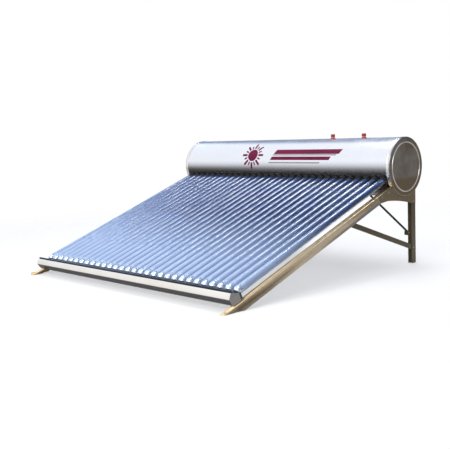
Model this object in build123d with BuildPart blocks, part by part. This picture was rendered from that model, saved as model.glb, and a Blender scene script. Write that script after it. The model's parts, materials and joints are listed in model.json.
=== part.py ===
"""Solar water heater: a horizontal tank over thirty sloping evacuated glass tubes, on a stainless frame.

Millimetres, +Z up, origin on the ground under the middle of the heater. X runs along the tank, the tubes
slope down towards -Y. Places on the slope are given as (s, h): s is the distance down the slope from the
plane of the tank's axis, h is the height square to the slope above the tubes' own axis plane.
"""
from build123d import *
from math import cos, radians, sin, sqrt, tan
import os

os.makedirs("parts", exist_ok=True)

# ---------------------------------------------------------------- driving dimensions
TILT = 19.2                # slope of the tubes and the front legs, degrees
TUBE_COUNT = 30
TUBE_PITCH = 75.0
TUBE_LENGTH = 1800.0
TUBE_R = 29.0              # outer glass, 58 mm
TUBE_WALL = 1.8
CORE_R = 23.5              # inner glass, 47 mm
CORE_WALL = 1.6
CORE_SHORT = 52.0          # the inner glass ends this far before the outer tip
MOUTH_S = 152.0            # the tubes' open ends stand this far down the slope
TIP_S = MOUTH_S + TUBE_LENGTH

TANK_Z = 776.0             # height of the tank's axis
AXIS_DROP = 22.6           # the tubes' axis plane passes this far below the tank's axis
JACKET_R = 228.0
JACKET_T = 1.0
JACKET_LENGTH = 2300.0
CAP_R = 230.5
CAP_T = 1.5
CAP_FACE_X = 1158.0
CAP_SKIRT = 32.0
CAP_SHOULDER = 7.0         # bend between the cap's face and its skirt
CAP_BEAD_R = 190.0         # pressed ring on the cap's face
CAP_BEAD_WIDTH = 10.0
CAP_BEAD = 4.0
INNER_R = 180.0
INNER_T = 2.0
INNER_HALF = 1060.0        # half length of the inner tank's straight wall
HEAD_DEPTH = 30.0
FOAM_HALF = 1148.0

BORE_START = 112.0         # cutting cylinders round the tubes run between these places on the slope
BORE_END = 300.0
RUN_GAP = 0.3              # between a tube and the rubber it slides in
SEAL_START_S = 158.0
SEAL_LENGTH = 28.0
SEAL_R = 32.8
SEAL_FLANGE_R = 35.5
DUST_NECK_R = 31.7
DUST_R = 37.0
DUST_START_S = 205.0
DUST_END_S = 243.0
DUST_TAPER = 4.0

LEG_X = 1140.0             # outer face of the legs' outer walls
SHEET = 2.0                # sheet thickness of the frame
LEG_TOP_H = -55.0
LEG_WEB_H = -97.0
LEG_LIP_H = -112.0
LEG_LIP_OUT = 9.0
LEG_WIDTH = 42.0
REAR_FRONT_Y = 95.0        # rear leg, from the tank's axis
REAR_BACK_Y = 152.0
REAR_DEPTH = 34.0
FOOT_T = 3.0
FOOT_HOLE_R = 5.5
FRONT_FOOT_BACK = 66.0     # anchor hole, behind the front edge of the front leg
FRONT_FOOT_START = 8.0
FRONT_FOOT_LENGTH = 104.0
REAR_FOOT_LENGTH = 42.0
REAR_FOOT_HOLE = 24.0      # anchor hole, in front of the rear leg's back wall

SEAT_R = 231.0             # the saddle's rolled seat under the tank
SEAT_X = 1096.0
SADDLE_S = 388.0           # lower end of the saddle's tongue on the front leg

BRACE_T = 1.5
BRACE_WIDTH = 38.0
BRACE_FLANGE = 8.0
BRACE_X = 1137.8           # outer face of the side brace, just inside the legs' outer walls
BRACE_FRONT = (797.0, -78.0)   # front bolt, (s, h)
BRACE_REAR = (118.0, 126.0)    # rear bolt, (y from the tank's axis, z)

TIE_Z = 560.0              # top of the tie bar under the tank
TIE_WIDTH = 30.0
TIE_FRONT_Y = 98.0
KNEE_LOW = (1085.0, 262.0)     # knee brace's centre line, (x, z)
KNEE_HIGH = (735.0, 540.0)
KNEE_WIDTH = 18.0
KNEE_TAB_Z = 240.0         # the tab by which the knee brace is bolted to the rear leg
KNEE_TAB = 34.0
KNEE_TAB_DEPTH = 28.0

RAIL_HALF = 1126.0
RAIL_T = 1.6
RAIL_SECTION = [(TIP_S, -55), (2020, -55), (2034, -34), (2043, 3), (2021, 32), (2012, 35)]  # (s, h)
CUP_GAP = 0.4
CUP_WIDTH = 74.4
CUP_START_S = 1934.0
CUP_FLOOR_H = -47.0
CUP_WALL = 4.0
CUP_BLOCK_S = 1964.0       # the solid seat in front of the cup's hollow
CUP_BLOCK_H = -3.0
CUP_RIB = 6.0
CUP_FOOT = (36.0, 30.0, 1985.0)    # width, length and place of the foot that stands on the rail
CUP_BAND_S = 2002.0
CUP_BAND_T = 5.0
CUP_BAND_TOP = 45.0

PORT_PIPE_R = 12.5
PORT_THREAD_R = 13.2       # G 3/4 thread, 26.4 mm over its crests
PORT_BORE_R = 10.0
PORT_HOLE_R = 17.0
TOP_PORTS_X = [456.0, 768.0]
TOP_PORT_END = 258.0       # from the tank's axis
TOP_THREAD = 20.0
REAR_PORTS_X = [-900.0, 900.0]
REAR_PORT_ANGLE = -40.0
REAR_PORT_END = 272.0
REAR_THREAD = 28.0
CAP_BORE_R = 13.28
CAP_GRIP_R = 16.2
CAP_BOTTOM = 239.0
CAP_TOP = 264.0
WASHER_T = 2.4
WASHER_HOLE_R = 6.0
GRIP_RIBS = 12
GRIP_RIB_R = 1.3
GROMMET_RISE = 6.0         # above the jacket
GROMMET_FLANGE = 4.0       # beyond the jacket's hole

BOLT_R = 4.0
BOLT_HEAD_R = 6.6
BOLT_HEAD_T = 4.4
NUT_T = 6.4
BOLT_HOLE_R = 4.2
BOLT_TAIL = 2.0            # thread beyond the nut
REAR_BOLT_Y = 125.0        # from the tank's axis
SADDLE_BOLT_H = -78.0
SADDLE_FRONT_BOLTS_S = (352.0, 262.0)
SADDLE_REAR_BOLTS_Z = (551.0, 496.0)
INNER_BOLT_SHIFT = 10.0    # the bolts of the tie bar and the knee brace stand this far forward
RAIL_BOLT_S = 1978.0
RAIL_BOLT_X = 1118.0

# ---------------------------------------------------------------- derived places
COS = cos(radians(TILT))
SIN = sin(radians(TILT))
SLOPE_Z = TANK_Z - AXIS_DROP
FRONT_REACH = (SLOPE_Z + LEG_TOP_H / COS) / tan(radians(TILT))
TANK_Y = (FRONT_REACH - CAP_R) / 2          # centres the whole heater on the origin
DOWN_SLOPE = (0, -COS, -SIN)
TANK_S = -AXIS_DROP * SIN                   # the tank's axis in slope coordinates
TANK_H = AXIS_DROP * COS


def slope_point(s, h, x=0.0):
    """A place on the slope, in the heater's own frame."""
    return (x, TANK_Y - s * COS - h * SIN, SLOPE_Z - s * SIN + h * COS)


def from_tank(s, h):
    """A place on the slope as (y, z) from the tank's axis."""
    return (-s * COS - h * SIN, -AXIS_DROP - s * SIN + h * COS)


def side_of_slope(x):
    """Plane square to X whose own coordinates are (s, h); it faces -X."""
    return Plane(origin=slope_point(0, 0, x), x_dir=DOWN_SLOPE, z_dir=(-1, 0, 0))


def across_slope(s):
    """Plane square to the slope at s; its own coordinates are (x, h) and it faces down the slope."""
    return Plane(origin=slope_point(s, 0), x_dir=(1, 0, 0), z_dir=DOWN_SLOPE)


def side_of_tank(x):
    """Plane square to X through the tank's axis; its own coordinates are (y, z) and it faces +X."""
    return Plane(origin=(x, TANK_Y, TANK_Z), x_dir=(0, 1, 0), z_dir=(1, 0, 0))


def along_tank():
    """Plane through the tank's axis; its own coordinates are (x, height) and it faces -Y."""
    return Plane(origin=(0, TANK_Y, TANK_Z), x_dir=(1, 0, 0), z_dir=(0, -1, 0))


def port_plane(x, angle):
    """Plane through the tank's axis that faces out along a port; 90 degrees is straight up."""
    out = (0, cos(radians(angle)), sin(radians(angle)))
    return Plane(origin=(x, TANK_Y, TANK_Z), x_dir=(1, 0, 0), z_dir=out)


PORTS = [(x, 90.0, TOP_PORT_END, TOP_THREAD) for x in TOP_PORTS_X]
REAR_PORTS = [(x, REAR_PORT_ANGLE, REAR_PORT_END, REAR_THREAD) for x in REAR_PORTS_X]


def tank_cylinder(radius, half_length):
    with BuildPart() as drum:
        with BuildSketch(side_of_tank(0)):
            Circle(radius)
        extrude(amount=half_length, both=True)
    return drum.part


def tube_bores(radius):
    """Thirty cylinders along the tubes' axes, through the tank's wall."""
    with BuildPart() as bores:
        with BuildSketch(across_slope(BORE_START)):
            with GridLocations(TUBE_PITCH, TUBE_PITCH, TUBE_COUNT, 1):
                Circle(radius)
        extrude(amount=BORE_END - BORE_START)
    return bores.part


def port_bores(radius):
    with BuildPart() as bores:
        for x, angle, end, thread in PORTS + REAR_PORTS:
            with BuildSketch(port_plane(x, angle)):
                Circle(radius)
            extrude(amount=end + thread)
    return bores.part


def row_of(piece):
    """Thirty copies of a piece that stands on the middle line, one at each tube."""
    with BuildPart() as row:
        with GridLocations(TUBE_PITCH, TUBE_PITCH, TUBE_COUNT, 1):
            add(piece)
    return row.part


def both_sides(piece):
    """A right-hand piece and its mirror image."""
    with BuildPart() as pair:
        add(piece)
        mirror(about=Plane.YZ)
    return pair.part


def left_of(piece):
    with BuildPart() as left:
        mirror(piece, about=Plane.YZ)
    return left.part


def save(piece, name):
    piece.label = name
    export_step(piece, f"parts/{name}.step")


# ---------------------------------------------------------------- fasteners' places, right-hand side
def x_bolt(x, y, z):
    """Bolt along X, pointing inwards, whose head sits on x."""
    return Plane(origin=(x, y, z), x_dir=(0, 1, 0), z_dir=(-1, 0, 0))


brace_front = slope_point(*BRACE_FRONT, LEG_X)
brace_rear = (LEG_X, TANK_Y + BRACE_REAR[0], BRACE_REAR[1])
REAR_MID_Y = TANK_Y + REAR_BOLT_Y
REAR_INNER_X = LEG_X - REAR_DEPTH + SHEET
SADDLE_X = LEG_X + SHEET
BOLTS = [(x_bolt(*brace_front), LEG_X - BRACE_X + BRACE_T),
         (x_bolt(*brace_rear), LEG_X - BRACE_X + BRACE_T)]
for s in SADDLE_FRONT_BOLTS_S:
    BOLTS.append((x_bolt(*slope_point(s, SADDLE_BOLT_H, SADDLE_X)), 2 * SHEET))
for z in SADDLE_REAR_BOLTS_Z:
    BOLTS.append((x_bolt(SADDLE_X, REAR_MID_Y, z), 2 * SHEET))
for z in (TIE_Z - TIE_WIDTH / 2, KNEE_TAB_Z):
    BOLTS.append((x_bolt(REAR_INNER_X, REAR_MID_Y - INNER_BOLT_SHIFT, z), 2 * SHEET))
BOLTS.append((Plane(origin=slope_point(RAIL_BOLT_S, LEG_TOP_H + RAIL_T, RAIL_BOLT_X), x_dir=(1, 0, 0),
                    z_dir=(0, SIN, -COS)), RAIL_T + SHEET))
BOLTS.append((Plane(origin=(KNEE_HIGH[0], TANK_Y + TIE_FRONT_Y, KNEE_HIGH[1]), x_dir=(1, 0, 0),
                    z_dir=(0, 1, 0)), 2 * SHEET))


def bolt_holes():
    """Clearance cylinders at every bolt of the right-hand side and its mirror."""
    with BuildPart() as holes:
        for plane, grip in BOLTS:
            with BuildSketch(plane.offset(-0.5)):
                Circle(BOLT_HOLE_R)
            extrude(amount=grip + 1.0)
        mirror(about=Plane.YZ)
    return holes.part


HOLES = bolt_holes()
UNDER_SEAT = tank_cylinder(SEAT_R + SHEET + 1, LEG_X + 60)     # keeps the legs clear of the saddles' seats

# ---------------------------------------------------------------- tank
with BuildPart() as outer_jacket:
    with BuildSketch(side_of_tank(0)):
        Circle(JACKET_R)
        Circle(JACKET_R - JACKET_T, mode=Mode.SUBTRACT)
    extrude(amount=JACKET_LENGTH / 2, both=True)
    add(tube_bores(DUST_NECK_R + RUN_GAP), mode=Mode.SUBTRACT)
    add(port_bores(PORT_HOLE_R), mode=Mode.SUBTRACT)
save(outer_jacket.part, "outer_jacket")


def inner_drum(radius, half, pole):
    """Round drum with shallow domed heads, turned about the tank's axis."""
    with BuildPart() as drum:
        with BuildSketch(along_tank()):
            with BuildLine():
                head_rise = pole - half
                ThreePointArc((half, radius), (pole - head_rise / 4, radius / 2), (pole, 0))
                Line((pole, 0), (-pole, 0))
                ThreePointArc((-pole, 0), (-pole + head_rise / 4, radius / 2), (-half, radius))
                Line((-half, radius), (half, radius))
            make_face()
        revolve(axis=Axis((0, TANK_Y, TANK_Z), (1, 0, 0)))
    return drum.part


ANODE_Z = 100.0            # above the tank's axis
ANODE_R = 11.0
ANODE_LENGTH = 420.0
ANODE_X = -1062.0
ANODE_STUD_R = 4.0
BOSS_X = -1078.0

with BuildPart() as inner_tank:
    add(inner_drum(INNER_R, INNER_HALF, INNER_HALF + HEAD_DEPTH))
    add(inner_drum(INNER_R - INNER_T, INNER_HALF - 1, INNER_HALF + HEAD_DEPTH - INNER_T), mode=Mode.SUBTRACT)
    with BuildSketch(side_of_tank(BOSS_X)):
        with Locations((0, ANODE_Z)):
            Circle(ANODE_R + 1)
    extrude(amount=ANODE_X - BOSS_X)
    with BuildSketch(side_of_tank(ANODE_X - 12)):
        with Locations((0, ANODE_Z)):
            Circle(ANODE_STUD_R + 0.05)
    extrude(amount=12, mode=Mode.SUBTRACT)
    add(tube_bores(SEAL_R + 0.2), mode=Mode.SUBTRACT)
    add(port_bores(PORT_BORE_R), mode=Mode.SUBTRACT)
save(inner_tank.part, "inner_tank")

with BuildPart() as anode_rod:
    with BuildSketch(side_of_tank(ANODE_X)):
        with Locations((0, ANODE_Z)):
            Circle(ANODE_R)
    extrude(amount=ANODE_LENGTH)
    fillet(anode_rod.edges().filter_by(GeomType.CIRCLE).sort_by(Axis.X)[-1], 4)
    with BuildSketch(side_of_tank(ANODE_X - 10)):
        with Locations((0, ANODE_Z)):
            Circle(ANODE_STUD_R)
    extrude(amount=10)
save(anode_rod.part, "anode_rod")

with BuildPart() as insulation_foam:
    add(tank_cylinder(JACKET_R - JACKET_T - 0.1, FOAM_HALF))
    add(inner_drum(INNER_R + 0.1, INNER_HALF + 0.1, INNER_HALF + HEAD_DEPTH + 0.1), mode=Mode.SUBTRACT)
    add(tube_bores(SEAL_FLANGE_R + 0.4), mode=Mode.SUBTRACT)
    add(port_bores(PORT_HOLE_R), mode=Mode.SUBTRACT)
save(insulation_foam.part, "insulation_foam")

with BuildPart() as end_cap_right:
    skirt_x = CAP_FACE_X - CAP_SKIRT
    inner_x = CAP_FACE_X - CAP_T
    bend_x = CAP_FACE_X - CAP_SHOULDER
    bend_r = CAP_R - CAP_SHOULDER
    bead_out = CAP_BEAD_R + CAP_BEAD_WIDTH / 2
    bead_in = CAP_BEAD_R - CAP_BEAD_WIDTH / 2
    with BuildSketch(along_tank()):
        with BuildLine():
            Line((skirt_x, CAP_R), (bend_x, CAP_R))
            shoulder = CenterArc((bend_x, bend_r), CAP_SHOULDER, 0, 90)
            Line(shoulder @ 0, (CAP_FACE_X, bead_out))
            ThreePointArc((CAP_FACE_X, bead_out), (CAP_FACE_X + CAP_BEAD, CAP_BEAD_R), (CAP_FACE_X, bead_in))
            Polyline((CAP_FACE_X, bead_in), (CAP_FACE_X, 0), (inner_x, 0), (inner_x, bend_r),
                     (bend_x, CAP_R - CAP_T), (skirt_x, CAP_R - CAP_T), (skirt_x, CAP_R))
        make_face()
    revolve(axis=Axis((0, TANK_Y, TANK_Z), (1, 0, 0)))
save(end_cap_right.part, "end_cap_right")
save(left_of(end_cap_right.part), "end_cap_left")

# ---------------------------------------------------------------- rubber rings at the tubes
with BuildPart() as seal:
    with BuildSketch(across_slope(SEAL_START_S)):
        Circle(SEAL_FLANGE_R)
    extrude(amount=SEAL_LENGTH)
    add(tank_cylinder(INNER_R + 0.1, 200), mode=Mode.SUBTRACT)
    with BuildSketch(across_slope(SEAL_START_S)):
        Circle(SEAL_R)
    extrude(amount=SEAL_LENGTH)
    with BuildSketch(across_slope(BORE_START)):
        Circle(TUBE_R + RUN_GAP)
    extrude(amount=BORE_END - BORE_START, mode=Mode.SUBTRACT)
save(row_of(seal.part), "tube_seals")

with BuildPart() as dust_ring:
    with BuildSketch(across_slope(DUST_START_S)):
        Circle(DUST_R)
    extrude(amount=DUST_END_S - DUST_START_S, taper=DUST_TAPER)
    add(tank_cylinder(JACKET_R + 0.1, 200), mode=Mode.SUBTRACT)
    with BuildSketch(across_slope(DUST_START_S + 3)):
        Circle(DUST_NECK_R)
    extrude(amount=DUST_END_S - DUST_START_S - 3)
    with BuildSketch(across_slope(BORE_START)):
        Circle(TUBE_R + RUN_GAP)
    extrude(amount=BORE_END - BORE_START, mode=Mode.SUBTRACT)
save(row_of(dust_ring.part), "dust_rings")


# ---------------------------------------------------------------- glass tubes
def bullet(start, tip, radius):
    """Half outline of a round-ended cylinder, to be turned about the tube's axis."""
    with BuildSketch() as outline:
        with BuildLine():
            Polyline((tip, 0), (start, 0), (start, radius), (tip - radius, radius))
            CenterArc((tip - radius, 0), radius, 0, 90)
        make_face()
    return outline.sketch_local


CORE_TIP = TIP_S - CORE_SHORT
CLIP_START = CORE_TIP - 26.0   # sprung steel clip that centres the inner glass in the outer one
CLIP_END = CORE_TIP + 16.0
CLIP_T = 0.5
CLIP_END_R = TUBE_R - TUBE_WALL - 0.7
for number in range(TUBE_COUNT):
    tube_x = (number - (TUBE_COUNT - 1) / 2) * TUBE_PITCH
    turn_axis = Axis(slope_point(0, 0, tube_x), DOWN_SLOPE)
    with BuildPart() as tube:
        with BuildSketch(side_of_slope(tube_x)):
            add(bullet(MOUTH_S, TIP_S, TUBE_R))
            add(bullet(MOUTH_S + 4, TIP_S - TUBE_WALL, TUBE_R - TUBE_WALL), mode=Mode.SUBTRACT)
            add(bullet(MOUTH_S + 1, CORE_TIP, CORE_R))
            add(bullet(MOUTH_S - 2, CORE_TIP - CORE_WALL, CORE_R - CORE_WALL), mode=Mode.SUBTRACT)
        revolve(axis=turn_axis)
        with BuildSketch(side_of_slope(tube_x)):
            with BuildLine():
                Polyline((CLIP_START, CORE_R + 0.1), (CLIP_END, CLIP_END_R), (CLIP_END, CLIP_END_R + CLIP_T),
                         (CLIP_START, CORE_R + 0.1 + CLIP_T), close=True)
            make_face()
        revolve(axis=turn_axis)
    save(tube.part, f"tube_{number + 1:02d}")

# ---------------------------------------------------------------- bottom rail and tail cups
with BuildPart() as bottom_rail:
    with BuildSketch(side_of_slope(0)):
        with BuildLine():
            Polyline(*RAIL_SECTION)
            offset(amount=RAIL_T, side=Side.LEFT, kind=Kind.INTERSECTION)
        make_face()
    extrude(amount=RAIL_HALF, both=True)
    add(HOLES, mode=Mode.SUBTRACT)
save(bottom_rail.part, "bottom_rail")

with BuildPart() as rail_end:
    with BuildSketch(side_of_slope(RAIL_HALF)):
        with BuildLine():
            Polyline(*RAIL_SECTION, (TIP_S, 2), close=True)
        make_face()
    extrude(amount=-RAIL_T)
save(both_sides(rail_end.part), "rail_end_plates")

with BuildPart() as tail_cup:
    band_back = CUP_BAND_S + CUP_BAND_T
    hollow_h = CUP_FLOOR_H + CUP_WALL
    with BuildSketch(side_of_slope(0)):
        with BuildLine():
            Polyline((CUP_START_S, CUP_FLOOR_H), (band_back, CUP_FLOOR_H), (band_back, CUP_BAND_TOP),
                     (CUP_BAND_S, CUP_BAND_TOP), (CUP_BAND_S, hollow_h), (CUP_BLOCK_S, hollow_h),
                     (CUP_BLOCK_S, CUP_BLOCK_H), (CUP_START_S, CUP_BLOCK_H), close=True)
        make_face()
    extrude(amount=CUP_WIDTH / 2, both=True)
    with BuildSketch(side_of_slope(0)):
        with Locations((CUP_BLOCK_S, CUP_FLOOR_H)):
            Rectangle(CUP_BAND_S - CUP_BLOCK_S, CUP_BLOCK_H - CUP_FLOOR_H, align=(Align.MIN, Align.MIN))
    extrude(amount=CUP_RIB / 2, both=True)
    foot_width, foot_length, foot_s = CUP_FOOT
    foot_bottom = LEG_TOP_H + RAIL_T
    with BuildSketch(side_of_slope(0)):
        with Locations((foot_s, foot_bottom)):
            Rectangle(foot_length, CUP_FLOOR_H - foot_bottom, align=(Align.CENTER, Align.MIN))
    extrude(amount=foot_width / 2, both=True)
    with BuildSketch(side_of_slope(0)):
        add(bullet(CUP_START_S - 40, TIP_S + CUP_GAP, TUBE_R + CUP_GAP))
    revolve(axis=Axis(slope_point(0, 0), DOWN_SLOPE), mode=Mode.SUBTRACT)
save(row_of(tail_cup.part), "tail_cups")

# ---------------------------------------------------------------- front legs
LEG_START_S = 196.0
LEG_RETURN = 12.0          # the leg's top wall turns down again this far at its inner edge
LEG_IN_X = LEG_X - LEG_WIDTH
with BuildPart() as front_leg:
    with BuildSketch(across_slope(LEG_START_S)):
        with BuildLine():
            Polyline((LEG_IN_X, LEG_TOP_H - LEG_RETURN), (LEG_IN_X, LEG_TOP_H), (LEG_X, LEG_TOP_H),
                     (LEG_X, LEG_WEB_H))
            offset(amount=SHEET, side=Side.RIGHT, kind=Kind.INTERSECTION)
        make_face()
    extrude(amount=2000)
    lip_x = LEG_X + LEG_LIP_OUT
    with BuildSketch(across_slope(SADDLE_S + 4)):
        with BuildLine():
            Polyline((LEG_X, LEG_WEB_H), (lip_x, LEG_LIP_H), (lip_x - SHEET, LEG_LIP_H - 1),
                     (LEG_X - SHEET, LEG_WEB_H - 1), (LEG_X - SHEET, LEG_WEB_H + 1), (LEG_X, LEG_WEB_H + 1),
                     close=True)
        make_face()
    extrude(amount=1800)
    split(bisect_by=Plane.XY, keep=Keep.TOP)
    foot_y = TANK_Y - FRONT_REACH
    with BuildSketch(Plane.XY):
        with Locations((LEG_X - SHEET / 2, foot_y + FRONT_FOOT_START)):
            Rectangle(LEG_WIDTH - SHEET, FRONT_FOOT_LENGTH, align=(Align.MAX, Align.MIN))
        with Locations((LEG_X - LEG_WIDTH / 2, foot_y + FRONT_FOOT_BACK)):
            Circle(FOOT_HOLE_R, mode=Mode.SUBTRACT)
    extrude(amount=FOOT_T)
    add(UNDER_SEAT, mode=Mode.SUBTRACT)
    add(HOLES, mode=Mode.SUBTRACT)
save(front_leg.part, "front_leg_right")
save(left_of(front_leg.part), "front_leg_left")

# ---------------------------------------------------------------- rear legs
with BuildPart() as rear_leg:
    with BuildSketch(Plane.XY):
        with BuildLine():
            back_y = TANK_Y + REAR_BACK_Y
            Polyline((LEG_X, TANK_Y + REAR_FRONT_Y), (LEG_X, back_y), (LEG_X - REAR_DEPTH, back_y),
                     (LEG_X - REAR_DEPTH, TANK_Y + REAR_FRONT_Y))
            offset(amount=SHEET, side=Side.LEFT, kind=Kind.INTERSECTION)
        make_face()
    extrude(amount=TANK_Z - REAR_BACK_Y)
    fillet(rear_leg.edges().filter_by(Axis.X).group_by(Axis.Z)[0].group_by(Axis.Y)[0], 10)
    with BuildSketch(Plane.XY):
        with Locations((LEG_X - REAR_DEPTH / 2, back_y - SHEET / 2)):
            Rectangle(REAR_DEPTH - SHEET, REAR_FOOT_LENGTH, align=(Align.CENTER, Align.MAX))
        with Locations((LEG_X - REAR_DEPTH / 2, back_y - REAR_FOOT_HOLE)):
            Circle(FOOT_HOLE_R, mode=Mode.SUBTRACT)
    extrude(amount=FOOT_T)
    add(UNDER_SEAT, mode=Mode.SUBTRACT)
    add(HOLES, mode=Mode.SUBTRACT)
save(rear_leg.part, "rear_leg_right")
save(left_of(rear_leg.part), "rear_leg_left")

# ---------------------------------------------------------------- saddles
SADDLE_TOP_H = LEG_TOP_H - 1
SEAT_START_S = TANK_S + sqrt(SEAT_R**2 - (SADDLE_TOP_H - TANK_H) ** 2)
SEAT_LOW = (-20.0, -sqrt(SEAT_R**2 - 20.0**2))      # a place near the lowest one of the seat
with BuildPart() as saddle:
    with BuildSketch(side_of_tank(LEG_X)):
        with BuildLine():
            tongue = Line(from_tank(SADDLE_S, SADDLE_TOP_H), from_tank(SADDLE_S, LEG_LIP_H - 1))
            rise = Line(tongue @ 1, (-238, -247))
            arch = ThreePointArc(rise @ 1, (-90, -259), (REAR_FRONT_Y, -294))
            back = Polyline(arch @ 1, (REAR_BACK_Y, -298), (REAR_BACK_Y, -sqrt(SEAT_R**2 - REAR_BACK_Y**2)))
            seat = ThreePointArc(back @ 1, SEAT_LOW, from_tank(SEAT_START_S, SADDLE_TOP_H))
            Line(seat @ 1, tongue @ 0)
        make_face()
    extrude(amount=SHEET)
    with BuildSketch(side_of_tank(SEAT_X)):
        with BuildLine():
            ThreePointArc(back @ 1, SEAT_LOW, seat @ 1)
            offset(amount=SHEET, side=Side.LEFT, kind=Kind.ARC)
        make_face()
    extrude(amount=SADDLE_X - SEAT_X)
    add(HOLES, mode=Mode.SUBTRACT)
save(saddle.part, "saddle_right")
save(left_of(saddle.part), "saddle_left")

# ---------------------------------------------------------------- braces
brace_a = Vector(brace_front[0], brace_front[1], brace_front[2])
brace_b = Vector(*brace_rear)
brace_run = brace_b - brace_a
with BuildPart() as side_brace:
    brace_mid = (brace_a + brace_b) * 0.5
    brace_plane = Plane(origin=(BRACE_X, brace_mid.Y, brace_mid.Z), x_dir=brace_run, z_dir=(-1, 0, 0))
    with BuildSketch(brace_plane):
        SlotCenterToCenter(brace_run.length, BRACE_WIDTH)
    extrude(amount=BRACE_T)
    with BuildSketch(brace_plane):
        with Locations((0, (BRACE_WIDTH - BRACE_T) / 2), (0, (BRACE_T - BRACE_WIDTH) / 2)):
            Rectangle(brace_run.length, BRACE_T)
    extrude(amount=BRACE_FLANGE)
    add(HOLES, mode=Mode.SUBTRACT)
save(side_brace.part, "side_brace_right")
save(left_of(side_brace.part), "side_brace_left")

REAR_WALL_X = LEG_X - REAR_DEPTH
with BuildPart() as rear_tie_bar:
    with BuildSketch(side_of_tank(0)):
        with BuildLine():
            Polyline((TIE_FRONT_Y, TIE_Z - TIE_WIDTH - TANK_Z), (TIE_FRONT_Y, TIE_Z - TANK_Z),
                     (TIE_FRONT_Y + TIE_WIDTH, TIE_Z - TANK_Z))
            offset(amount=SHEET, side=Side.RIGHT, kind=Kind.INTERSECTION)
        make_face()
    extrude(amount=REAR_WALL_X, both=True)
    for x in (REAR_WALL_X - SHEET, -REAR_WALL_X):
        with BuildSketch(side_of_tank(x)):
            with Locations((TIE_FRONT_Y, TIE_Z - TIE_WIDTH - TANK_Z)):
                Rectangle(TIE_WIDTH, TIE_WIDTH, align=(Align.MIN, Align.MIN))
        extrude(amount=SHEET)
    add(HOLES, mode=Mode.SUBTRACT)
save(rear_tie_bar.part, "rear_tie_bar")

knee_low = Vector(KNEE_LOW[0], 0, KNEE_LOW[1])
knee_high = Vector(KNEE_HIGH[0], 0, KNEE_HIGH[1])
knee_run = knee_high - knee_low
KNEE_Y = TANK_Y + TIE_FRONT_Y + SHEET
KNEE_END = 15.0            # the brace runs on this far beyond its two places
with BuildPart() as knee_brace:
    knee_mid = (knee_low + knee_high) * 0.5
    knee_plane = Plane(origin=(knee_mid.X, KNEE_Y, knee_mid.Z), x_dir=knee_run, z_dir=(0, 1, 0))
    with BuildSketch(knee_plane):
        Rectangle(knee_run.length + 2 * KNEE_END, KNEE_WIDTH)
    extrude(amount=SHEET)
    with BuildSketch(knee_plane):
        with Locations((-KNEE_END - 1, (SHEET - KNEE_WIDTH) / 2)):
            Rectangle(knee_run.length - 50, SHEET)
    extrude(amount=KNEE_WIDTH)
    with BuildSketch(side_of_tank(REAR_WALL_X - SHEET)):
        with Locations((TIE_FRONT_Y + SHEET, KNEE_TAB_Z - TANK_Z)):
            Rectangle(KNEE_TAB_DEPTH, KNEE_TAB, align=(Align.MIN, Align.CENTER))
    extrude(amount=SHEET)
    tab_corner = (REAR_WALL_X - SHEET, KNEE_Y, KNEE_TAB_Z)
    with BuildSketch(Plane(origin=tab_corner, x_dir=(1, 0, 0), z_dir=(0, 1, 0))):
        Rectangle(KNEE_TAB, KNEE_TAB, align=(Align.MAX, Align.CENTER))
    extrude(amount=SHEET)
    add(HOLES, mode=Mode.SUBTRACT)
save(both_sides(knee_brace.part), "knee_braces")


# ---------------------------------------------------------------- ports, grommets, caps
STUB_START = INNER_R - 6.0


def port_stub(x, angle, end, thread):
    """Pipe stub that stands on the inner tank, with a thread at its outer end."""
    plane = port_plane(x, angle)
    with BuildPart() as stub:
        with BuildSketch(plane.offset(STUB_START)):
            Circle(PORT_PIPE_R)
        extrude(amount=end - STUB_START)
        with BuildSketch(plane.offset(end - thread)):
            Circle(PORT_THREAD_R)
        extrude(amount=thread)
        chamfer(stub.faces().filter_by(plane).sort_by(SortBy.DISTANCE)[-1].edges(), 0.8)
        with BuildSketch(plane.offset(STUB_START - 4)):
            Circle(PORT_BORE_R)
        extrude(amount=end - STUB_START + 14, mode=Mode.SUBTRACT)
        add(tank_cylinder(INNER_R + 0.05, INNER_HALF), mode=Mode.SUBTRACT)
    return stub.part


def port_grommet(x, angle):
    """Flanged rubber ring between a stub and the jacket's hole."""
    plane = port_plane(x, angle)
    with BuildPart() as ring:
        with BuildSketch(plane.offset(JACKET_R - GROMMET_RISE - 2)):
            Circle(PORT_HOLE_R + GROMMET_FLANGE)
        extrude(amount=2 * GROMMET_RISE + 2, taper=6)
        add(tank_cylinder(JACKET_R + 0.05, INNER_HALF), mode=Mode.SUBTRACT)
        with BuildSketch(plane.offset(JACKET_R - GROMMET_RISE)):
            Circle(PORT_HOLE_R - 0.2)
        extrude(amount=GROMMET_RISE + 2)
        with BuildSketch(plane.offset(INNER_R)):
            Circle(PORT_PIPE_R + 0.1)
        extrude(amount=JACKET_R, mode=Mode.SUBTRACT)
    return ring.part


with BuildPart() as top_ports:
    for x, angle, end, thread in PORTS:
        add(port_stub(x, angle, end, thread))
save(top_ports.part, "top_ports")

with BuildPart() as rear_ports:
    for x, angle, end, thread in REAR_PORTS:
        add(port_stub(x, angle, end, thread))
save(rear_ports.part, "rear_ports")

with BuildPart() as port_grommets:
    for x, angle, end, thread in PORTS + REAR_PORTS:
        add(port_grommet(x, angle))
save(port_grommets.part, "port_grommets")

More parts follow.
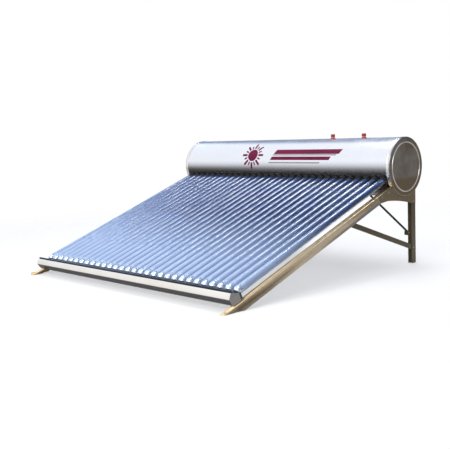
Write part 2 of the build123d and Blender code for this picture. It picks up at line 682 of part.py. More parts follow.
WASHER_Z = TOP_PORT_END + 0.1
for x, side in zip(TOP_PORTS_X, ("inner", "outer")):
    plane = port_plane(x, 90.0)
    with BuildPart() as washer:
        with BuildSketch(plane.offset(WASHER_Z)):
            Circle(PORT_THREAD_R - 0.4)
            Circle(WASHER_HOLE_R, mode=Mode.SUBTRACT)
        extrude(amount=WASHER_T)
    save(washer.part, f"port_washer_{side}")

    with BuildPart() as screw_cap:
        with BuildSketch(plane.offset(CAP_BOTTOM)):
            Circle(CAP_GRIP_R)
        extrude(amount=CAP_TOP - CAP_BOTTOM)
        fillet(screw_cap.faces().sort_by(Axis.Z)[-1].edges(), 3)
        with BuildSketch(plane.offset(CAP_BOTTOM)):
            with PolarLocations(CAP_GRIP_R, GRIP_RIBS):
                Circle(GRIP_RIB_R)
        extrude(amount=CAP_TOP - CAP_BOTTOM - 4)
        with BuildSketch(plane.offset(CAP_BOTTOM - 1)):
            Circle(CAP_BORE_R)
        extrude(amount=WASHER_Z + WASHER_T + 0.05 - CAP_BOTTOM + 1, mode=Mode.SUBTRACT)
    save(screw_cap.part, f"port_cap_{side}")

# ---------------------------------------------------------------- bolts and nuts
with BuildPart() as frame_bolts:
    for plane, grip in BOLTS:
        with BuildSketch(plane.offset(-BOLT_HEAD_T)):
            RegularPolygon(BOLT_HEAD_R, 6)
        extrude(amount=BOLT_HEAD_T)
        with BuildSketch(plane):
            Circle(BOLT_R)
        extrude(amount=grip + NUT_T + BOLT_TAIL)
    mirror(about=Plane.YZ)
save(frame_bolts.part, "frame_bolts")

with BuildPart() as frame_nuts:
    for plane, grip in BOLTS:
        with BuildSketch(plane.offset(grip)):
            RegularPolygon(BOLT_HEAD_R, 6)
            Circle(BOLT_R + 0.05, mode=Mode.SUBTRACT)
        extrude(amount=NUT_T)
    mirror(about=Plane.YZ)
save(frame_nuts.part, "frame_nuts")
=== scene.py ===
"""Solar water heater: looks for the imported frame, laid out as an add-on and run as a script.

Metres, +Z up. The tank lies along X, the glass tubes slope down towards -Y.
"""
import json
from math import asin, atan2, cos, degrees, pi, radians, sin

import bmesh
import bpy
from bpy.props import FloatProperty, FloatVectorProperty, IntProperty, PointerProperty
from mathutils import Matrix, Vector


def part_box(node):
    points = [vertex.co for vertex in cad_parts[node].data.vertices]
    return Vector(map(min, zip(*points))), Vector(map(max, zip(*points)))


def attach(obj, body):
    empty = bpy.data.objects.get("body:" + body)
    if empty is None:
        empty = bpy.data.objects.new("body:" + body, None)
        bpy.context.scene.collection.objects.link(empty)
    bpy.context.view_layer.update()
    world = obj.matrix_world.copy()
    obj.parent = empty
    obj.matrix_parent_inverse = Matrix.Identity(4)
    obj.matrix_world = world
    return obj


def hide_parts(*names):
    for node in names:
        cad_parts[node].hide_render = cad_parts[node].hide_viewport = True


bl_info = {
    "name": "Solar water heater",
    "version": (1, 0, 0),
    "blender": (4, 5, 0),
    "location": "3D View > Sidebar > Heater",
    "description": "Builds the visible pieces and the studio of a solar water heater",
    "category": "Object",
}

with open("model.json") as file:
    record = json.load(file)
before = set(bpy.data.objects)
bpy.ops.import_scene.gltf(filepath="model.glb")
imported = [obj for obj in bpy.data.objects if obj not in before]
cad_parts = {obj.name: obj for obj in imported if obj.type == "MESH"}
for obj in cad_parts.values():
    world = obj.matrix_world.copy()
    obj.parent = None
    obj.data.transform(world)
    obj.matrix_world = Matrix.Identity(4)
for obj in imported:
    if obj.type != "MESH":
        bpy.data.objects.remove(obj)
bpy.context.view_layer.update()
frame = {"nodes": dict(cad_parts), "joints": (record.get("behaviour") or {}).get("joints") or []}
FIXED = "frame_and_tank"
MM = 0.001
TOUCH = 0.5 * MM        # two places closer than this count as one when parts of a mesh are picked
SMOOTH_BELOW = radians(32)

# ---------------------------------------------------------------- places taken from the frame
SLIDES = {j["child"]: Vector(j["axis"]) for j in frame["joints"] if j["name"].startswith("tube_")}
UP_SLOPE = next(iter(SLIDES.values())).normalized()
DOWN_SLOPE = -UP_SLOPE
OFF_SLOPE = Vector((0, -UP_SLOPE.z, UP_SLOPE.y))
TILT = asin(UP_SLOPE.z)
TUBE_NODES = sorted(n for n in frame["nodes"] if n.startswith("tube_") and n[5:].isdigit())
TUBE_LOW, TUBE_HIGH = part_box(TUBE_NODES[0])
TUBE_RADIUS = (TUBE_HIGH.x - TUBE_LOW.x) / 2
JACKET_LOW, JACKET_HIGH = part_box("outer_jacket")
TANK = (JACKET_LOW + JACKET_HIGH) / 2
JACKET_RADIUS = (JACKET_HIGH.z - JACKET_LOW.z) / 2
CAP_LOW, CAP_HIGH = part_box("end_cap_right")
LEG_LOW, LEG_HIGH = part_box("front_leg_right")
RAIL_LOW, RAIL_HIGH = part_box("bottom_rail")


def tube_tip(node):
    """Centre of the round end of a tube."""
    low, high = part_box(node)
    return Vector(((low.x + high.x) / 2, low.y + TUBE_RADIUS, low.z + TUBE_RADIUS))


def tube_mouth():
    """Centre of the first tube's open end."""
    return Vector((0, TUBE_HIGH.y - TUBE_RADIUS * sin(TILT), TUBE_HIGH.z - TUBE_RADIUS * cos(TILT)))


FIRST_TIP = tube_tip(TUBE_NODES[0])
MOUTH = tube_mouth()
TUBE_RUN = (MOUTH - Vector((0, FIRST_TIP.y, FIRST_TIP.z))).length
# The pale band above the tips is dust and a painted sky reflection.
TIP_FADE = (FIRST_TIP.y - 15 * MM, FIRST_TIP.y + 35 * MM)      # dust settles above the clean round tips


def on_slope(x, s, h):
    """A point s down the slope from the tubes' open ends, and h square to the slope."""
    return Vector((x, MOUTH.y, MOUTH.z)) + DOWN_SLOPE * s + OFF_SLOPE * h


# ---------------------------------------------------------------- shader maths and finishes
class Val:
    """A number socket that takes part in Python expressions."""

    def __init__(self, tree, socket):
        self.tree = tree
        self.socket = socket

    def maths(self, operation, first, second=None, clamp=False):
        node = self.tree.nodes.new("ShaderNodeMath")
        node.operation = operation
        node.use_clamp = clamp
        for slot, value in enumerate((first, second)):
            if isinstance(value, Val):
                self.tree.links.new(value.socket, node.inputs[slot])
            elif value is not None:
                node.inputs[slot].default_value = value
        return Val(self.tree, node.outputs[0])

    def __add__(self, lit_colour):
        return self.maths("ADD", self, lit_colour)

    __radd__ = __add__

    def __mul__(self, lit_colour):
        return self.maths("MULTIPLY", self, lit_colour)

    __rmul__ = __mul__

    def __sub__(self, lit_colour):
        return self.maths("SUBTRACT", self, lit_colour)

    def __rsub__(self, lit_colour):
        return self.maths("SUBTRACT", lit_colour, self)

    def __pow__(self, lit_colour):
        return self.maths("POWER", self, lit_colour)

    def clamped(self):
        return self.maths("ADD", self, 0.0, clamp=True)

    def between(self, low, high):
        """0 below low, 1 above high, smooth in between."""
        node = self.tree.nodes.new("ShaderNodeMapRange")
        node.interpolation_type = "SMOOTHSTEP"
        self.tree.links.new(self.socket, node.inputs["Value"])
        node.inputs["From Min"].default_value = low
        node.inputs["From Max"].default_value = high
        return Val(self.tree, node.outputs["Result"])


class Finish:
    """A node tree with short ways to add what it needs."""

    def __init__(self, tree):
        self.tree = tree

    def node(self, kind, settings=None, **values):
        made = self.tree.nodes.new(kind)
        for name, value in (settings or {}).items():
            setattr(made, name, value)
        for name, value in values.items():
            self.feed(made.inputs[name.replace("_", " ")], value)
        return made

    def feed(self, socket, value):
        """Links or sets one input."""
        if isinstance(value, Val):
            self.tree.links.new(value.socket, socket)
        elif isinstance(value, bpy.types.NodeSocket):
            self.tree.links.new(value, socket)
        else:
            socket.default_value = value

    def place(self, stretch=(1, 1, 1), turn=(0, 0, 0)):
        """Object coordinates, turned and then stretched."""
        where = self.node("ShaderNodeTexCoord").outputs["Object"]
        mapping = self.node("ShaderNodeMapping", Vector=where, Scale=stretch, Rotation=turn)
        return mapping.outputs["Vector"]

    def axis(self, name, where=None):
        split = self.node("ShaderNodeSeparateXYZ", Vector=where or self.place())
        return Val(self.tree, split.outputs[name])

    def noise(self, where, scale=1.0, detail=4.0):
        made = self.node("ShaderNodeTexNoise", Vector=where, Scale=scale, Detail=detail, Roughness=0.55)
        return Val(self.tree, made.outputs["Fac"])

    def blend(self, factor, first, second):
        """A colour between two others."""
        mix = self.node("ShaderNodeMix", {"data_type": "RGBA"})
        self.feed(mix.inputs[0], factor)
        self.feed(mix.inputs[6], first)
        self.feed(mix.inputs[7], second)
        return mix.outputs[2]

    def bump(self, height, strength, distance=MM):
        made = self.node("ShaderNodeBump", Height=height, Strength=strength, Distance=distance)
        return made.outputs["Normal"]

    def surface(self, colour, roughness, normal=None, **constants):
        """The main shader. Only colour, roughness and normal may vary."""
        shader = self.node("ShaderNodeBsdfPrincipled", Base_Color=colour, Roughness=roughness)
        if normal is not None:
            self.feed(shader.inputs["Normal"], normal)
        for name, value in constants.items():
            shader.inputs[name.replace("_", " ")].default_value = value
        return shader.outputs["BSDF"]

    def output(self, shader, kind="ShaderNodeOutputMaterial"):
        """Ends the tree with this shader."""
        end = self.node(kind)
        self.tree.links.new(shader, end.inputs["Surface"])


def new_material(name):
    material = bpy.data.materials.new(name)
    material.use_nodes = True
    material.node_tree.nodes.clear()
    return material, Finish(material.node_tree)


def rgb(colour):
    return (*colour, 1.0)


def scaled(colour, share):
    return tuple(c * share for c in colour[:3])


def steel(name, colour, shade, roughness, grain, turn=(0, 0, 0), marks=0.35, painted_shade=None, metallic=1.0,
          painted_light=None):
    """Rolled or brushed stainless: grain lines, broad stains, faint scratches.

    grain says how fine the lines are along each axis after the turn, marks how strongly all of it shows.
    The painted shade argument is (colour, low, high, lean): a dark colour, painted shade and reflection, that
    takes over from the height high down to low. Lean lets it climb higher on the side towards the tubes.
    The painted light argument is a function of the finish that gives (share, colour) for one part of the
    surface: a painted highlight or painted fill light.
    """
    material, f = new_material(name)
    lines = f.noise(f.place(grain, turn), detail=3.0)
    stains = f.noise(f.place(), scale=5.0, detail=5.0)
    smears = f.noise(f.place((3, 9, 14)), scale=2.0, detail=3.0)
    scratches = f.noise(f.place((40, 6, 160), (0.3, 0.2, 0.5)), scale=3.0, detail=2.0).between(0.66, 0.72)
    patchy = (stains.between(0.35, 0.7) * marks + lines.between(0.3, 0.7) * 0.35 * marks).clamped()
    base = f.blend(patchy, rgb(colour), rgb(shade))
    # Painted shade and reflection: the surface turns to a dark colour below a given height.
    if painted_shade:
        dark_colour, low, high, lean = painted_shade
        ragged = (stains - 0.5) * (4 * MM)
        height = f.axis("Z") + (f.axis("Y") - TANK.y) * lean + ragged
        base = f.blend(1 - height.between(low, high), base, rgb(dark_colour))
    # Painted highlight or fill light on one part of the surface.
    if painted_light:
        share, lit_colour = painted_light(f)
        base = f.blend(share, base, rgb(lit_colour))
    rough = (roughness + (smears - 0.5) * 0.14 + (lines - 0.5) * 0.16 + scratches * 0.08).clamped()
    normal = f.bump(lines * 0.6 + scratches * 0.8 + stains * 0.4, 0.10, 0.4 * MM)
    f.output(f.surface(base, rough, normal, Metallic=metallic))
    return material


def moulded(name, colour, shade, roughness, pitch=220.0, bump=0.25, coat=0.0, metallic=0.0):
    """Moulded rubber or plastic with a fine grain, dust in its hollows and rubbed patches."""
    material, f = new_material(name)
    grain = f.noise(f.place(), scale=pitch, detail=3.0)
    dust = f.noise(f.place(), scale=14.0, detail=5.0)
    base = f.blend(dust.between(0.4, 0.75) * 0.7, rgb(colour), rgb(shade))
    rough = (roughness + (dust - 0.5) * 0.25 + (grain - 0.5) * 0.1).clamped()
    normal = f.bump(grain, bump, 0.5 * MM)
    f.output(f.surface(base, rough, normal, Coat_Weight=coat, Metallic=metallic))
    return material


def clear_glass(name, dust_and_sheen_colour):
    """Thin glass: clear straight on, a mirror at a glance, with a little dust and water marks, and a pale
    blue film low on the tube that is dust and painted sky reflection.
    """
    material, f = new_material(name)
    facing = Val(f.tree, f.node("ShaderNodeLayerWeight", Blend=0.5).outputs["Facing"])
    straight_on = 0.035
    mirror = straight_on + (1 - straight_on) * facing ** 4.5
    streaks = f.noise(f.place((60, 0.8, 0.8)))
    spots = f.noise(f.place(), scale=60.0, detail=3.0).between(0.58, 0.75)
    along = f.axis("Y")
    # Dust and painted reflection: the lower stretch of each tube gets a pale blue film for dust and for the
    # sky it would mirror.
    settled_dust_and_sheen = (1 - along.between(FIRST_TIP.y + 0.15, FIRST_TIP.y + 1.0)) * along.between(*TIP_FADE)
    dust = (0.004 + streaks.between(0.4, 0.8) * 0.02 + spots * 0.01 + settled_dust_and_sheen * 0.33).clamped()
    clear = f.node("ShaderNodeBsdfTransparent", Color=rgb((0.95, 0.97, 0.99))).outputs[0]
    gloss = f.node("ShaderNodeBsdfGlossy", Color=rgb((1.0, 1.0, 1.0)), Roughness=0.03).outputs[0]
    dust_and_sheen_film = f.node("ShaderNodeBsdfDiffuse", Color=rgb(dust_and_sheen_colour)).outputs[0]
    wall = f.node("ShaderNodeMixShader", Fac=mirror)
    f.tree.links.new(clear, wall.inputs[1])
    f.tree.links.new(gloss, wall.inputs[2])
    coat = f.node("ShaderNodeMixShader", Fac=dust)
    f.tree.links.new(wall.outputs[0], coat.inputs[1])
    f.tree.links.new(dust_and_sheen_film, coat.inputs[2])
    f.output(coat.outputs[0])
    return material


def coated_glass(name, deep, bright):
    """The blue selective coating of the inner tube: a soft metallic film with sputter bands."""
    material, f = new_material(name)
    along = f.axis("Y")
    bands = f.noise(f.place((30, 5, 5)), detail=3.0)
    specks = f.noise(f.place(), scale=300.0, detail=2.0)
    near_tank = along.between(MOUTH.y - 170 * MM, MOUTH.y - 60 * MM)
    shift = (bands.between(0.3, 0.75) * 0.25 + near_tank * 0.75).clamped()
    base = f.blend(shift, rgb(deep), rgb(bright))
    rough = (0.22 + (bands - 0.5) * 0.06 + (specks - 0.5) * 0.04).clamped()
    normal = f.bump(specks, 0.08, 0.1 * MM)
    f.output(f.surface(base, rough, normal, Metallic=0.55, Coat_Weight=0.4, Coat_Roughness=0.08))
    return material


def mirror_glass(name, colour, fringe):
    """The silvered end of the outer tube, with a brown fringe."""
    material, f = new_material(name)
    clouds = f.noise(f.place(), scale=40.0)
    base = f.blend(clouds.between(0.45, 0.8) * 0.4, rgb(colour), rgb(fringe))
    f.output(f.surface(base, 0.16 + clouds * 0.12, Metallic=1.0))
    return material


def painted_film(name, colour, shade):
    """Printed vinyl film."""
    material, f = new_material(name)
    grain = f.noise(f.place(), scale=180.0, detail=3.0)
    fade = f.noise(f.place((3, 3, 3)), scale=2.0, detail=3.0)
    base = f.blend(fade.between(0.35, 0.7), rgb(colour), rgb(shade))
    f.output(f.surface(base, 0.5 + grain * 0.12, f.bump(grain, 0.1, 0.2 * MM), Specular_IOR_Level=0.2))
    return material


def foam_fill(name, colour, shade):
    """Rigid foam with open cells on its skin."""
    material, f = new_material(name)
    cells = Val(f.tree, f.node("ShaderNodeTexVoronoi", Vector=f.place(), Scale=420.0).outputs["Distance"])
    clouds = f.noise(f.place(), scale=20.0)
    base = f.blend(clouds, rgb(colour), rgb(shade))
    f.output(f.surface(base, 0.85, f.bump(cells, 0.5, 0.8 * MM)))
    return material


# ---------------------------------------------------------------- modelling by operators
def deselect():
    """Back to object mode with nothing selected."""
    if bpy.context.object and bpy.context.object.mode != "OBJECT":
        bpy.ops.object.mode_set(mode="OBJECT")
    bpy.ops.object.select_all(action="DESELECT")


def select_only(obj):
    deselect()
    obj.select_set(True)
    bpy.context.view_layer.objects.active = obj


def pick(obj, kind, test):
    """In edit mode, selects the vertices, edges or faces that pass a test."""
    bpy.context.tool_settings.mesh_select_mode = (kind == "verts", kind == "edges", kind == "faces")
    mesh = bmesh.from_edit_mesh(obj.data)
    for group in (mesh.verts, mesh.edges, mesh.faces):
        for part in group:
            part.select = False
    for part in getattr(mesh, kind):
        if test(part):
            part.select_set(True)
    mesh.select_flush_mode()
    bmesh.update_edit_mesh(obj.data)


def extrude_by(step):
    bpy.ops.mesh.extrude_region_move(TRANSFORM_OT_translate={"value": tuple(step)})


def draw_line(name, points):
    """A new object whose mesh is an open line, left in edit mode with its last point selected."""
    deselect()
    bpy.ops.mesh.primitive_plane_add(size=0.01)
    obj = bpy.context.object
    obj.name = name
    obj.data.name = name
    bpy.ops.object.mode_set(mode="EDIT")
    bpy.context.tool_settings.mesh_select_mode = (True, False, False)
    bpy.ops.mesh.select_all(action="SELECT")
    bpy.ops.mesh.merge(type="CENTER")
    bpy.ops.mesh.select_all(action="SELECT")
    bpy.ops.transform.translate(value=tuple(points[0]))
    for before, after in zip(points, points[1:]):
        extrude_by(Vector(after) - Vector(before))
    return obj


def spun(name, profile, centre, axis, steps):
    """A profile of points turned all the way about an axis, closed and facing outwards."""
    obj = draw_line(name, profile)
    bpy.ops.mesh.select_all(action="SELECT")
    bpy.ops.mesh.spin(steps=steps, angle=2 * pi, center=tuple(centre), axis=tuple(axis))
    bpy.ops.mesh.select_all(action="SELECT")
    bpy.ops.mesh.remove_doubles(threshold=0.02 * MM)
    bpy.ops.mesh.normals_make_consistent(inside=False)
    bpy.ops.object.mode_set(mode="OBJECT")
    return obj


def bend_edges(obj, along, radius, segments=3):
    """Rounds every fold that runs along a direction."""
    def folded(edge):
        if len(edge.link_faces) != 2:
            return False
        run = (edge.verts[1].co - edge.verts[0].co).normalized()
        return abs(run.dot(along)) > 0.99 and edge.calc_face_angle() > radians(8)
    pick(obj, "edges", folded)
    bpy.ops.mesh.bevel(offset=radius, segments=segments, affect="EDGES")


def face_out(obj, test, outward):
    """Turns the whole sheet over if the face that passes the test looks the wrong way."""
    bpy.ops.mesh.select_all(action="SELECT")
    bpy.ops.mesh.normals_make_consistent(inside=False)
    mesh = bmesh.from_edit_mesh(obj.data)
    sample = max((face for face in mesh.faces if test(face)), key=lambda face: face.calc_area())
    if sample.normal.dot(outward) < 0:
        bpy.ops.mesh.flip_normals()


def add_wall(obj, wall):
    """Gives a sheet its thickness inwards."""
    select_only(obj)
    thick = obj.modifiers.new("wall", "SOLIDIFY")
    thick.thickness = wall
    thick.offset = -1
    thick.use_even_offset = True
    bpy.ops.object.modifier_apply(modifier=thick.name)
    smooth(obj)


def smooth(obj):
    select_only(obj)
    bpy.ops.object.shade_smooth_by_angle(angle=SMOOTH_BELOW)


def settle(obj, place=(0, 0, 0), turn=(0, 0, 0)):
    """Turns a piece about the origin, moves it, and makes both part of its mesh."""
    select_only(obj)
    obj.location = place
    obj.rotation_euler = turn
    bpy.ops.object.transform_apply()


def cut_away(obj, point, normal):
    """In edit mode, removes what lies on the side that the normal points to."""
    bpy.ops.mesh.select_all(action="SELECT")
    bpy.ops.mesh.bisect(plane_co=tuple(point), plane_no=tuple(normal), clear_outer=True)


def trim(obj, point, normal):
    """Saws off what lies beyond a plane and closes the cut."""
    select_only(obj)
    bpy.ops.object.mode_set(mode="EDIT")
    bpy.ops.mesh.select_all(action="SELECT")
    bpy.ops.mesh.bisect(plane_co=tuple(point), plane_no=tuple(normal), clear_outer=True, use_fill=True)
    bpy.ops.object.mode_set(mode="OBJECT")


def copy_of(obj, name, move):
    """A copy with its own mesh, placed by a matrix."""
    twin = obj.copy()
    twin.data = obj.data.copy()
    twin.name = name
    twin.data.name = name
    bpy.context.collection.objects.link(twin)
    twin.data.transform(move)
    if move.determinant() < 0:
        twin.data.flip_normals()
    return twin


MIRROR = Matrix.Scale(-1, 4, (1, 0, 0))


def dress(obj, material, slot, body, *nodes):
    """Finish, attach to the body, and hide the nodes that the piece stands for; slot is not used."""
    obj.data.materials.clear()
    obj.data.materials.append(material)
    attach(obj, body)
    if nodes:
        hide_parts(*nodes)


def repaint(node, material):
    """Gives a node of the frame a better finish."""
    obj = frame["nodes"][node]
    if not obj.data.materials:
        obj.data.materials.append(material)
    for index in range(len(obj.material_slots)):
        obj.material_slots[index].material = material


# ---------------------------------------------------------------- sizes and colours
def length(name, description, default):
    return FloatProperty(name=name, description=description, default=default, min=0.0, unit="LENGTH")


def paint(name, description, default):
    return FloatVectorProperty(name=name, description=description, default=default, size=3, min=0.0,
                               max=1.0, subtype="COLOR")


class TubeSettings(bpy.types.PropertyGroup):
    wall: length("Glass wall", "Thickness of the outer glass", 1.8 * MM)
    core_wall: length("Inner wall", "Thickness of the inner tube", 1.6 * MM)
    core_radius: length("Inner radius", "Radius of the coated inner tube", 23.5 * MM)
    core_short: length("Inner gap", "The inner tube ends this far before the outer tip", 42 * MM)
    silver: length("Silvered end", "Length of the silvered stretch above the round end", 10 * MM)
    clip_length: length("Clip", "Length of the sprung steel clip", 42 * MM)
    sides: IntProperty(name="Sides", description="Faces round each tube", default=28, min=12)
    # The dust colour is pale sky blue: it is also a painted sky reflection on the tubes' lower stretch.
    dust: paint("Dust", "Colour of the dust on the glass", (0.56, 0.70, 0.95))
    coating: paint("Coating", "Blue of the selective coating", (0.003, 0.036, 0.140))
    coating_near_tank: paint("Coating at the tank", "Brighter blue near the tank", (0.03, 0.12, 0.42))
    silvering: paint("Silvering", "Colour of the silvered end", (0.94, 0.94, 0.95))
    fringe: paint("Fringe", "Duller patches of the silvered end", (0.62, 0.60, 0.58))
    clip: paint("Clip steel", "Colour of the spring clip", (0.6, 0.6, 0.6))
    clip_shade: paint("Clip stains", "Colour of stains on the spring clip", (0.45, 0.45, 0.45))


class FrameSettings(bpy.types.PropertyGroup):
    sheet: length("Sheet", "Thickness of the legs' sheet", 2.0 * MM)
    bend: length("Bend", "Radius of the legs' bends", 5.0 * MM)
    groove: length("Groove", "Depth of the rolled groove in the legs' top wall", 2.2 * MM)
    steel: paint("Leg steel", "Colour of the front legs", (0.64, 0.55, 0.42))
    steel_shade: paint("Leg stains", "Colour of stains on the front legs", (0.44, 0.37, 0.27))
    # Painted highlight: the front legs' top wall is painted bright.
    steel_top_highlight: paint("Leg top", "Colour of the front legs' bright top wall", (0.98, 0.76, 0.46))
    brace: paint("Brace steel", "Colour of the braces and rear legs", (0.150, 0.127, 0.085))
    brace_shade: paint("Brace stains", "Colour of stains on the braces and rear legs", (0.095, 0.080, 0.054))
    # Painted fill light: the rear legs' inner walls are painted brighter than the braces.
    upright_inner_fill: paint("Upright's inside", "Colour of the rear legs' inner walls", (0.46, 0.395, 0.28))
    saddle: paint("Saddle steel", "Colour of the tank's saddles", (0.32, 0.28, 0.215))
    saddle_shade: paint("Saddle stains", "Colour of stains on the saddles", (0.22, 0.19, 0.15))
    rail_steel: paint("Rail steel", "Colour of the bottom rail", (0.93, 0.89, 0.82))
    rail_shade: paint("Rail stains", "Colour of stains on the bottom rail", (0.84, 0.78, 0.68))
    # Painted shade: the rail's down-facing lower wall is painted dark, standing for its shade and the floor
    # it reflects.
    rail_painted_shade: paint("Rail underside", "Colour of the grimy lower wall of the rail", (0.17, 0.165, 0.165))


class TankSettings(bpy.types.PropertyGroup):
    jacket: paint("Jacket steel", "Colour of the tank's jacket", (0.92, 0.935, 0.97))
    jacket_shade: paint("Jacket stains", "Colour of stains on the jacket", (0.86, 0.87, 0.91))
    # Painted shade and reflection: a dark colour low on the jacket stands for the ground and tubes it would
    # mirror.
    jacket_painted_shade: paint("Jacket grime", "Colour of the grime low on the jacket", (0.075, 0.064, 0.055))
    # The caps' blue grey tint is a painted sky reflection.
    cap: paint("Cap steel", "Colour of the end caps", (0.37, 0.385, 0.43))
    cap_shade: paint("Cap stains", "Colour of stains on the end caps", (0.22, 0.21, 0.20))
    # Painted highlight: the caps' skirt and pressed ring are painted bright.
    cap_painted_highlight: paint("Rubbed cap steel", "Colour of the caps' skirt and pressed ring", (0.93, 0.88, 0.80))
    # Painted reflection: the caps' lower third is painted warm brown for the ground it would mirror.
    cap_painted_shade: paint("Cap grime", "Colour of the caps' lower third", (0.27, 0.235, 0.185))
    emblem: paint("Emblem", "Crimson of the printed emblem", (0.155, 0.002, 0.040))
    emblem_grey: paint("Emblem grey", "Grey of the printed stripes", (0.30, 0.28, 0.26))


class SmallPartSettings(bpy.types.PropertyGroup):
    end_plate: paint("Rail end", "Colour of the rail's end plates", (0.36, 0.36, 0.36))
    end_plate_shade: paint("Rail end stains", "Colour of stains on the end plates", (0.24, 0.235, 0.23))
    cup: paint("Tail cups", "Colour of the tail cups", (0.010, 0.018, 0.036))
    cup_dust: paint("Cup dust", "Colour of the dust on the tail cups", (0.05, 0.07, 0.10))
    ring: paint("Dust rings", "Colour of the dust rings", (0.006, 0.006, 0.007))
    ring_dust: paint("Ring dust", "Colour of the dust on the dust rings", (0.018, 0.017, 0.016))
    grommet: paint("Grommets", "Colour of the port grommets", (0.30, 0.018, 0.030))
    grommet_dust: paint("Grommet dust", "Colour of worn patches on the grommets", (0.20, 0.02, 0.03))
    screw_cap: paint("Screw caps", "Colour of the ports' screw caps", (0.33, 0.006, 0.030))
    screw_cap_dust: paint("Screw cap dust", "Colour of worn patches on the screw caps", (0.22, 0.010, 0.03))
    seal: paint("Seals", "Colour of the silicone seals and washers", (0.50, 0.49, 0.46))
    seal_dust: paint("Seal dust", "Colour of stains on the seals", (0.36, 0.34, 0.32))
    port: paint("Ports", "Colour of the brass ports", (0.80, 0.56, 0.24))
    port_shade: paint("Port stains", "Colour of stains on the ports", (0.55, 0.36, 0.14))
    bolt: paint("Bolts", "Colour of bolts and nuts", (0.62, 0.58, 0.52))
    bolt_shade: paint("Bolt stains", "Colour of stains on bolts and nuts", (0.42, 0.38, 0.33))
    vessel: paint("Inner tank", "Colour of the inner tank", (0.66, 0.66, 0.68))
    vessel_shade: paint("Inner tank stains", "Colour of stains on the inner tank", (0.5, 0.5, 0.52))
    anode: paint("Anode", "Colour of the anode rod", (0.55, 0.55, 0.54))
    anode_shade: paint("Anode stains", "Colour of stains on the anode rod", (0.40, 0.40, 0.39))
    foam: paint("Foam", "Colour of the insulation foam", (0.80, 0.70, 0.42))
    foam_shade: paint("Foam shade", "Darker colour of the foam", (0.70, 0.58, 0.32))


# ---------------------------------------------------------------- operators
class HEATER_OT_stage(bpy.types.Operator):
    """Pale floor, soft lights and the camera"""
    bl_idname = "heater.stage"
    bl_label = "Stage"

    floor_radius = 6.0
    floor_greys = ((0.80, 0.80, 0.80), (0.83, 0.83, 0.83))
    ground_behind = (0.34, 0.30, 0.245)
    sky_behind = (0.20, 0.26, 0.40)
    overhead = (0.95, 0.96, 1.0)
    ground_in_front = (0.10, 0.095, 0.09)
    sky_in_front = (0.90, 0.92, 0.97)
    blue_side = (1.7, 2.5, 4.0)
    lamps = (       # name, place, width, length, power in watts
        ("overhead_strip", (-0.3, 1.7, 5.5), 1.2, 4.5, 165.0),
        ("front_softbox", (1.5, -6.0, 4.5), 4.0, 4.0, 230.0),
    )
    lamp_target = (0, 0, 0.3)
    camera_place = (4.3886, -4.2043, 1.131)
    yaw, pitch, roll = 0.8033, 0.1276, -0.0415
    lens = 60.64

    def execute(self, context):
        self.floor()
        self.sky()
        self.lights()
        self.camera()
        context.scene.view_settings.view_transform = "Standard"
        return {"FINISHED"}

    def floor(self):
        """A round pale floor that fades out towards its edge."""
        deselect()
        bpy.ops.mesh.primitive_circle_add(vertices=96, radius=self.floor_radius, fill_type="NGON")
        obj = bpy.context.object
        obj.name = "studio_floor"
        material, f = new_material("pale_floor")
        base = f.blend(f.noise(f.place(), scale=6.0), *(rgb(grey) for grey in self.floor_greys))
        shader = f.surface(base, 0.9, Specular_IOR_Level=0.0)
        away = f.node("ShaderNodeVectorMath", {"operation": "LENGTH"}, Vector=f.place())
        away = Val(f.tree, away.outputs["Value"])
        f.feed(shader.node.inputs["Alpha"], 0.5 * (1 - away.between(2.2, 5.5)))
        f.output(shader)
        obj.data.materials.append(material)

    def sky(self):
        """Bright soft dome in front, darker behind, with a bright blue side on the left for reflections."""
        world = bpy.data.worlds.new("soft_studio")
        world.use_nodes = True
        world.node_tree.nodes.clear()
        bpy.context.scene.world = world
        f = Finish(world.node_tree)
        where = f.node("ShaderNodeTexCoord").outputs["Generated"]
        x, y, z = (f.axis(name, where) for name in "XYZ")
        behind = (y + x * 0.35).between(0.02, 0.30)
        back = f.blend(z.between(0.02, 0.30), rgb(self.ground_behind), rgb(self.sky_behind))
        back = f.blend(z.between(0.70, 0.86), back, rgb(self.overhead))
        front = f.blend(z.between(-0.30, 0.02), rgb(self.ground_in_front), rgb(self.sky_in_front))
        colour = f.blend(behind, front, back)
        side = (0 - x * 0.62 - y).between(-0.05, 0.10) * (y + 0.1).between(0.0, 0.2)
        left = side * z.between(0.0, 0.12) * (1 - z.between(0.46, 0.58))
        colour = f.blend(left, colour, rgb(self.blue_side))
        dome = f.node("ShaderNodeBackground", Color=colour, Strength=1.0)
        plain = f.node("ShaderNodeBackground", Color=(1, 1, 1, 1), Strength=1.0)
        seen = f.node("ShaderNodeLightPath").outputs["Is Camera Ray"]
        mix = f.node("ShaderNodeMixShader", Fac=seen)
        f.tree.links.new(dome.outputs[0], mix.inputs[1])
        f.tree.links.new(plain.outputs[0], mix.inputs[2])
        f.output(mix.outputs[0], "ShaderNodeOutputWorld")

    def lights(self):
        for name, place, wide, long, power in self.lamps:
            deselect()
            bpy.ops.object.light_add(type="AREA", location=place)
            lamp = bpy.context.object
            lamp.name = name
            lamp.data.shape = "RECTANGLE"
            lamp.data.size = wide
            lamp.data.size_y = long
            lamp.data.energy = power
            aim = Vector(self.lamp_target) - Vector(place)
            lamp.rotation_mode = "QUATERNION"
            lamp.rotation_quaternion = aim.to_track_quat("-Z", "Y")

    def camera(self):
        """Stands off the heater's front right corner, a little above the tank."""
        turn = Matrix.Rotation(self.yaw, 4, "Z") @ Matrix.Rotation(pi / 2 - self.pitch, 4, "X")
        deselect()
        bpy.ops.object.camera_add(location=self.camera_place)
        cam = bpy.context.object
        cam.name = "studio_camera"
        cam.matrix_world = Matrix.Translation(self.camera_place) @ turn @ Matrix.Rotation(self.roll, 4, "Z")
        cam.data.sensor_width = 36.0
        cam.data.lens = self.lens
        cam.data.clip_end = 200.0
        bpy.context.scene.camera = cam


